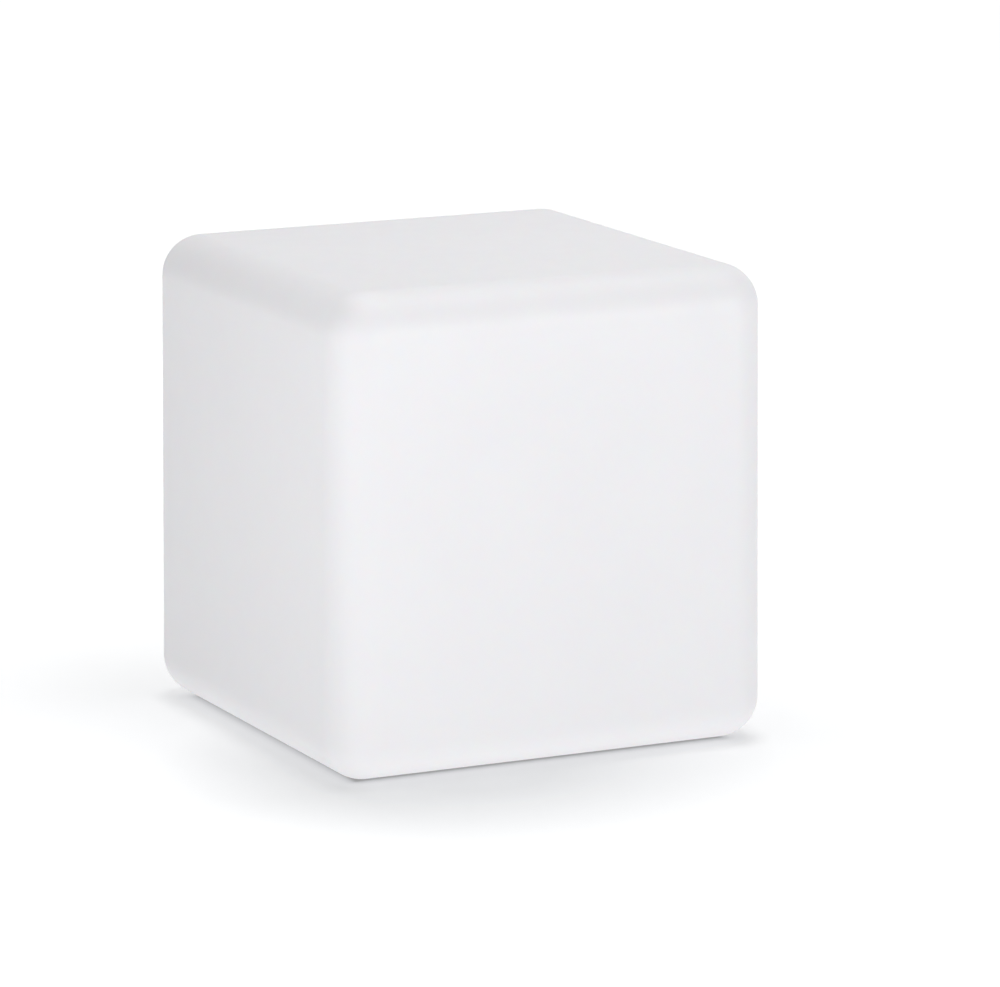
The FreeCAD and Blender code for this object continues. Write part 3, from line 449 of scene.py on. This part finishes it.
MATERIALS = {
    "shell_plastic": surface(
        "moulded_white", (0.872, 0.864, 0.888), (0.866, 0.858, 0.883), (0.42, 0.5), patch=18,
        fine=1100, depth=1e-5, Subsurface_Weight=0.15, Subsurface_Scale=0.004, IOR=PLASTIC_IOR),
    "base_plastic": surface(
        "base_white", (0.80, 0.80, 0.81), (0.785, 0.785, 0.80), (0.45, 0.58), patch=40,
        fine=2200, depth=2e-5, IOR=PLASTIC_IOR),
    "inner_plastic": surface(
        "inner_white", (0.74, 0.74, 0.73), (0.72, 0.72, 0.715), (0.4, 0.5), patch=60,
        fine=1800, depth=2e-5, IOR=PLASTIC_IOR),
    "opal_plastic": surface(
        "opal", (0.86, 0.86, 0.85), (0.84, 0.84, 0.835), (0.35, 0.45), patch=50,
        fine=1500, depth=1e-5, Transmission_Weight=0.35, Subsurface_Weight=0.3,
        Subsurface_Scale=0.003, IOR=ACRYLIC_IOR),
    "rubber": surface(
        "grey_rubber", (0.30, 0.30, 0.305), (0.26, 0.26, 0.265), (0.62, 0.78), patch=120,
        fine=2600, depth=4e-5, IOR=PLASTIC_IOR),
    "button_rubber": surface(
        "button_silicone", (0.52, 0.52, 0.53), (0.49, 0.49, 0.50), (0.5, 0.62), patch=120,
        fine=2600, depth=3e-5, IOR=SILICONE_IOR),
    "foam": surface(
        "foam", (0.09, 0.09, 0.095), (0.05, 0.05, 0.052), (0.85, 0.97), patch=500,
        fine=1400, depth=25e-5),
    "steel": surface(
        "screw_steel", (0.60, 0.60, 0.61), (0.52, 0.52, 0.53), (0.24, 0.36), patch=300,
        fine=2600, depth=1e-5, Metallic=1),
    "brass": surface(
        "turned_brass", (0.72, 0.53, 0.26), (0.62, 0.44, 0.2), (0.26, 0.38), patch=300,
        fine=2200, depth=2e-5, stretch=(1, 1, 8), Metallic=1),
    "nickel": surface(
        "nickel_strip", (0.66, 0.64, 0.6), (0.6, 0.58, 0.54), (0.28, 0.4), patch=200,
        fine=1800, depth=1e-5, stretch=(1, 8, 1), Metallic=1),
    "clear_plastic": surface(
        "clear_pipe", (0.93, 0.94, 0.95), (0.9, 0.92, 0.93), (0.1, 0.2), patch=200,
        fine=1500, depth=1e-5, Transmission_Weight=0.8, IOR=ACRYLIC_IOR),
    "black_plastic": surface(
        "black_plastic", (0.028, 0.028, 0.03), (0.02, 0.02, 0.022), (0.38, 0.5), patch=150,
        fine=2400, depth=2e-5, IOR=PLASTIC_IOR),
    "circuit_board": board_surface(
        "green_board", (0.018, 0.11, 0.045), (0.015, 0.095, 0.038), (0.05, 0.2, 0.08),
        pitch=0.0035),
    "led_board": board_surface(
        "white_board", (0.82, 0.82, 0.81), (0.8, 0.8, 0.79), (0.7, 0.7, 0.69), pitch=0.006),
    "led_chip": surface(
        "phosphor", (0.85, 0.72, 0.22), (0.8, 0.66, 0.18), (0.35, 0.45), patch=400,
        fine=3000, depth=1e-5, IOR=PLASTIC_IOR),
    "cell_wrap": surface(
        "shrink_wrap", (0.03, 0.16, 0.42), (0.025, 0.13, 0.36), (0.2, 0.32), patch=160,
        fine=1200, depth=3e-5, stretch=(6, 1, 1), IOR=PLASTIC_IOR),
    "lead_sheath": surface(
        "lead_sheath", (0.42, 0.03, 0.025), (0.36, 0.025, 0.02), (0.38, 0.5), patch=200,
        fine=1800, depth=1e-5, IOR=PLASTIC_IOR),
}


# The other pieces: turned ones, and CAD nodes with softened edges

# Profiles in millimetres: radius and level, and the rounding of that corner.
FOOT_PROFILE = [(0, 0.35), (5.6, 0.35, 0.3), (6.2, 0, 0.3), (9.2, 0, 0.4), (10, 0.8, 0.4),
                (10, 4, 0.2), (0, 4)]
BUTTON_PROFILE = [(0, 3.0), (4.83, 2.67, 4), (6.1, 2.5, 0.5), (6.9, 2.9, 0.4), (6.9, 3.45, 0.1),
                  (5.77, 3.45, 0.2), (5.77, 5.05, 0.2), (6.9, 5.05, 0.1), (6.9, 6.2, 0.1),
                  (8.9, 6.2, 0.2), (8.9, 7.2, 0.2), (3, 7.2, 0.4), (3, 9.7, 0.2), (0, 9.7)]
O_RING_PROFILE = [(6.47, 3.6), (7.12, 3.6, 0.65), (7.12, 4.9, 0.65), (5.82, 4.9, 0.65),
                  (5.82, 3.6, 0.65), (6.47, 3.6)]
DOME_PROFILE = [(0, 94.5), (44.5, 94.5, 44.5), (44.5, 43, 0.2), (46, 43, 0.2), (46, 96, 46),
                (0, 96)]
BUTTON_SPOT = (-14, 25)

# The nodes that get softened edges, with their bevels in millimetres.
EDGE_WIDTHS = {
    "module_base": 0.2, "module_screws": 0.12, "charge_port_cover": 0.25, "cover_anchor": 0.25,
    "vent_plug": 0.15, "charge_light_pipe": 0.1, "charging_jack": 0.1, "tact_switch": 0.15,
    "control_board": 0.08, "control_parts": 0.15, "battery_clamp": 0.4, "battery_cells": 0.15,
    "board_screws": 0.1, "clamp_screws": 0.1, "tray_screws": 0.12, "led_board_screws": 0.1,
    "led_tray": 0.25, "led_board": 0.1, "led_chips": 0.12, "led_plug": 0.2, "insert_nuts": 0.1,
}
BEVEL_STEPS = 2
SHARP_ANGLE = math.radians(35)
JOIN_GAP = 0.002  # CAD vertices this close, in millimetres, are one
FLAT_ANGLE = math.radians(0.5)  # CAD faces that turn by less are one


def turned_piece(name, node, profile, spots, count, steps=CORNER_STEPS):
    """A piece that is one profile turned about each of its spots."""
    skin = Skin()
    for x, y in spots:
        lathe(skin, profile, count, x, y, steps=steps)
    slot = node_slots[node]
    skin.piece(name, MATERIALS[slot], slot, nodes[node]["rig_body"], node)


def soft_copy(node, width):
    """A copy of a CAD node with its flat faces joined and its edges bevelled."""
    shape = bmesh.new()
    shape.from_mesh(nodes[node].data)
    bmesh.ops.remove_doubles(shape, verts=shape.verts, dist=JOIN_GAP * MM)
    bmesh.ops.dissolve_limit(shape, angle_limit=FLAT_ANGLE, verts=shape.verts, edges=shape.edges)
    shape.verts.index_update()
    mesh = bpy.data.meshes.new(f"{node}_soft")
    mesh.from_pydata([vertex.co for vertex in shape.verts], [],
                     [[vertex.index for vertex in face.verts] for face in shape.faces])
    shape.free()
    mesh.polygons.foreach_set("use_smooth", [True] * len(mesh.polygons))
    slot = node_slots[node]
    item = add_piece(f"{node}_soft", mesh, MATERIALS[slot], slot, nodes[node]["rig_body"], node)
    bevel = item.modifiers.new("bevel", "BEVEL")
    bevel.width = width * MM
    bevel.segments = BEVEL_STEPS
    bevel.limit_method = "ANGLE"
    bevel.angle_limit = SHARP_ANGLE
    bevel.harden_normals = True


# The studio, in metres

# The floor's colour and its own white, by distance from the contact edge, which is a rectangle
# under the cube, given by its half width and half depth. The white is low near that edge, which is
# painted shadow, deepest there, and the colour is darker in a thin line at it: painted contact
# shadow.
FLOOR_REACH = 30
FLOOR_SEEN = (0.59, 0.6, 0.61)
PAINTED_CONTACT_SHADOW = (0.43, 0.43, 0.43)
CONTACT_EDGE = (0.1262, 0.122, 0)
CONTACT_WIDTH = 0.004
FLOOR_WHITE_AND_PAINTED_SHADOW = [(0, 0), (0.002, 0.04), (0.006, 0.2), (0.01, 0.28), (0.016, 0.3), (0.08, 0.34),
               (0.16, 0.39), (0.3, 0.5), (1, 0.66)]

# More white beside the cube, which sets in over SIDE_START from the contact edge, and over
# PAINTED_SHADOW_REACH from the middle of the painted shadow, so the floor stays darker round that
# spot and near the contact edge: painted shadow.
SIDE_WHITE = 0.25
SIDE_START = (0.005, 0.035)
PAINTED_SHADOW_MIDDLE = (-0.053, -0.126, 0)
PAINTED_SHADOW_REACH = (0.054, 0.2)

SKY_LIGHT = 0.17
GROUND_LIGHT = 0.9
HORIZON = 0.05  # half the height of the blend between the two

# Name, place, aim, width, height and watts.
LAMPS = [
    ("front_strip", (0, -3.2, 0.22), (0, 0, 0.15), 2.2, 0.35, 8.6),
    ("front_right_box", (1.5, -2.6, 0.5), (0, 0, 0.15), 1.2, 0.8, 20.4),
    ("left_tall_box", (-0.75, -0.75, 0.3), (-0.15, -0.05, 0.15), 0.4, 0.8, 1.03),
    ("left_panel", (-0.7, -0.25, 0.25), (-0.15, -0.05, 0.2), 0.6, 0.5, 1.02),
    ("top_box", (0.1, -0.1, 1.2), (0, 0, 0.3), 0.9, 0.9, 5.35),
    ("back_box", (0.2, 1.6, 2.2), (0, 0, 0.15), 1.6, 1.2, 9.2),
    ("back_right_box", (0.7, 0.6, 0.9), (0, 0, 0.15), 0.9, 0.7, 0.2),
]

CAMERA_PLACE = (-1.5083, -3.16794, 0.86886)
CAMERA_DIP = math.radians(11.6302)
CAMERA_TURN = math.radians(25.9202)  # from +Y towards +X
CAMERA_LENS = 201.79
SENSOR_WIDTH = 36
CAMERA_REACH = 100


def ray_sum(tree):
    """1 for camera, glossy and transmission rays."""
    path = add_node(tree, "LightPath")
    total = path.outputs["Is Camera Ray"]
    for name in ("Is Glossy Ray", "Is Transmission Ray"):
        item = add_node(tree, "Math", operation="MAXIMUM")
        tree.links.new(total, item.inputs[0])
        tree.links.new(path.outputs[name], item.inputs[1])
        total = item.outputs[0]
    return total


def mix_shaders(tree, factor, first, second):
    item = add_node(tree, "MixShader")
    for source, socket in zip((factor, first, second), item.inputs):
        tree.links.new(source, socket)
    return item.outputs[0]


def floor_tones_and_painted_shadow(tree):
    """The floor's colour and its own white: little under the cube, full well away from it. The low
    white near the cube and the darker colour at its foot are painted shadow.
    """
    place = add_node(tree, "TexCoord").outputs["Object"]
    shade = add_node(tree, "VectorMath", operation="DISTANCE")
    tree.links.new(place, shade.inputs[0])
    shade.inputs[1].default_value = PAINTED_SHADOW_MIDDLE
    for operation, given in (("ABSOLUTE", None), ("SUBTRACT", CONTACT_EDGE),
                             ("MAXIMUM", (0, 0, 0))):
        item = add_node(tree, "VectorMath", operation=operation)
        tree.links.new(place, item.inputs[0])
        if given:
            item.inputs[1].default_value = given
        place = item.outputs[0]
    away = add_node(tree, "VectorMath", operation="LENGTH")
    tree.links.new(place, away.inputs[0])
    distance = away.outputs["Value"]
    # The white rises with distance from the contact edge; where it is low, near the cube, it is
    # painted shadow.
    level = add_node(tree, "ValToRGB")
    tree.links.new(distance, level.inputs[0])
    stops = level.color_ramp.elements
    for position, _ in FLOOR_WHITE_AND_PAINTED_SHADOW[1:-1]:
        stops.new(position)
    for stop, (position, share) in zip(stops, FLOOR_WHITE_AND_PAINTED_SHADOW):
        stop.position = position
        stop.color = (share, share, share, 1)
    # The side white is held back round the middle of the painted shadow and near the contact edge:
    # painted shadow.
    clear_of_painted_shadow = spread(tree, shade.outputs["Value"], 0, 1, *PAINTED_SHADOW_REACH)
    side_white = spread(tree, distance, 0, SIDE_WHITE, *SIDE_START)
    white = add_node(tree, "Math", operation="MULTIPLY_ADD")
    for socket, source in zip(white.inputs, (clear_of_painted_shadow, side_white, level.outputs["Color"])):
        tree.links.new(source, socket)
    # In a thin line at the contact edge the floor's colour is darker: painted contact shadow.
    contact = spread(tree, distance, 0, 1, 0, CONTACT_WIDTH)
    return blend_colours(tree, contact, PAINTED_CONTACT_SHADOW, FLOOR_SEEN), white.outputs[0]


def floor_material():
    """What ray_sum's rays see from above; clear to all other light, and from below."""
    material = bpy.data.materials.new("pale_floor")
    material.use_nodes = True
    tree = material.node_tree
    tree.nodes.clear()
    out = add_node(tree, "OutputMaterial")
    side = add_node(tree, "NewGeometry")
    matt = add_node(tree, "BsdfDiffuse")
    glow = add_node(tree, "Emission")
    colour, white = floor_tones_and_painted_shadow(tree)
    tree.links.new(colour, matt.inputs["Color"])
    # The glow is weak near the cube, which paints the cube's shadow into the floor.
    tree.links.new(white, glow.inputs["Strength"])
    seen = add_node(tree, "AddShader")
    tree.links.new(matt.outputs[0], seen.inputs[0])
    tree.links.new(glow.outputs[0], seen.inputs[1])
    clear = add_node(tree, "BsdfTransparent").outputs[0]
    front = mix_shaders(tree, ray_sum(tree), clear, seen.outputs[0])
    both = mix_shaders(tree, side.outputs["Backfacing"], front, clear)
    tree.links.new(both, out.inputs["Surface"])
    return material


def make_floor():
    mesh = bpy.data.meshes.new("floor")
    corners = [(-FLOOR_REACH, -FLOOR_REACH, 0), (FLOOR_REACH, -FLOOR_REACH, 0),
               (FLOOR_REACH, FLOOR_REACH, 0), (-FLOOR_REACH, FLOOR_REACH, 0)]
    mesh.from_pydata(corners, [], [(0, 1, 2, 3)])
    mesh.materials.append(floor_material())
    floor = bpy.data.objects.new("floor", mesh)
    bpy.context.scene.collection.objects.link(floor)


def make_world():
    """White to ray_sum's rays; a dim sky and a bright ground to all others."""
    world = bpy.data.worlds.new("studio")
    world.use_nodes = True
    tree = world.node_tree
    tree.nodes.clear()
    out = add_node(tree, "OutputWorld")
    seen = add_node(tree, "Background", Color=(1, 1, 1, 1), Strength=1)
    light = add_node(tree, "Background", Color=(1, 1, 1, 1))
    split = add_node(tree, "SeparateXYZ")
    tree.links.new(add_node(tree, "TexCoord").outputs["Generated"], split.inputs[0])
    rise = spread(tree, split.outputs["Z"], GROUND_LIGHT, SKY_LIGHT, -HORIZON, HORIZON)
    tree.links.new(rise, light.inputs["Strength"])
    both = mix_shaders(tree, ray_sum(tree), light.outputs[0], seen.outputs[0])
    tree.links.new(both, out.inputs["Surface"])
    bpy.context.scene.world = world


def make_lamp(name, place, aim, width, height, watts):
    data = bpy.data.lights.new(name, "AREA")
    data.shape = "RECTANGLE"
    data.size = width
    data.size_y = height
    data.energy = watts
    lamp = bpy.data.objects.new(name, data)
    lamp.location = place
    lamp.rotation_euler = (Vector(aim) - Vector(place)).to_track_quat("-Z", "Y").to_euler()
    bpy.context.scene.collection.objects.link(lamp)


def make_camera():
    data = bpy.data.cameras.new("camera")
    data.sensor_width = SENSOR_WIDTH
    data.lens = CAMERA_LENS
    data.clip_end = CAMERA_REACH
    camera = bpy.data.objects.new("camera", data)
    camera.location = CAMERA_PLACE
    camera.rotation_euler = (math.pi / 2 - CAMERA_DIP, 0, -CAMERA_TURN)
    bpy.context.scene.collection.objects.link(camera)
    bpy.context.scene.camera = camera


make_shell(MATERIALS["shell_plastic"])
turned_piece("feet", "rubber_feet", FOOT_PROFILE, FOOT_SPOTS, FOOT_COUNT)
turned_piece("button", "power_button", BUTTON_PROFILE, [BUTTON_SPOT], count=96, steps=5)
turned_piece("o_ring", "button_seal", O_RING_PROFILE, [BUTTON_SPOT], count=64, steps=5)
turned_piece("dome", "diffuser_dome", DOME_PROFILE, [(0, 0)], count=96, steps=24)
for node, width in EDGE_WIDTHS.items():
    soft_copy(node, width)
for node, item in nodes.items():
    if not item.hide_render:
        item.data.materials.clear()
        item.data.materials.append(MATERIALS[node_slots[node]])

make_floor()
make_world()
for lamp in LAMPS:
    make_lamp(*lamp)
make_camera()
bpy.context.scene.view_settings.view_transform = "Standard"
